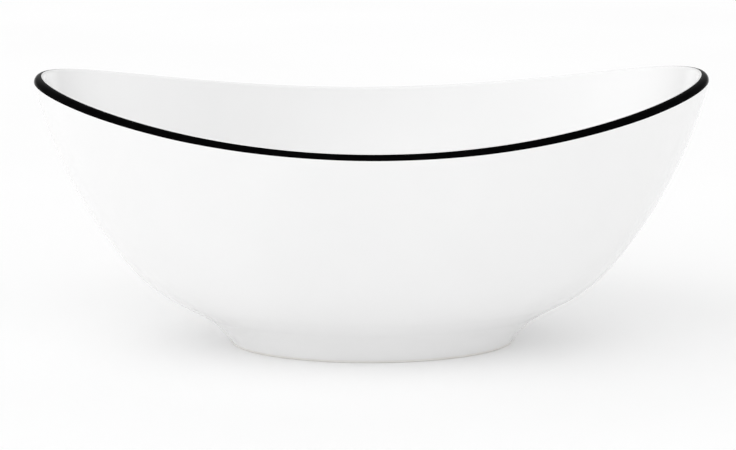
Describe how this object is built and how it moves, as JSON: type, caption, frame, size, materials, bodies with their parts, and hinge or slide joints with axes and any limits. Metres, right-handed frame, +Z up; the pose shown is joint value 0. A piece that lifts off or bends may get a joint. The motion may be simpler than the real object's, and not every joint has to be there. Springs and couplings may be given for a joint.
{
  "type": "serving bowl",
  "caption": "Deep oval porcelain serving bowl with a saddle-shaped rim, a painted dark line on the lip and a low tapered foot.",
  "frame": {"origin": "centre of the oval foot, on the plane it rests on", "axes": "+X along the long axis through the two raised ends, +Y across, from one low side to the other, +Z up"},
  "size_m": [0.3298, 0.2436, 0.134],
  "materials": {
    "porcelain": "fired, unglazed, fine matt",
    "white_glaze": "clear glossy glaze over white porcelain",
    "black_enamel": "glossy black enamel line"
  },
  "bodies": {
    "root": {"porcelain_body": "porcelain", "foot_ring": "porcelain", "inner_glaze": "white_glaze", "outer_glaze": "white_glaze", "base_glaze": "white_glaze", "rim_line": "black_enamel"}
  },
  "joints": []
}
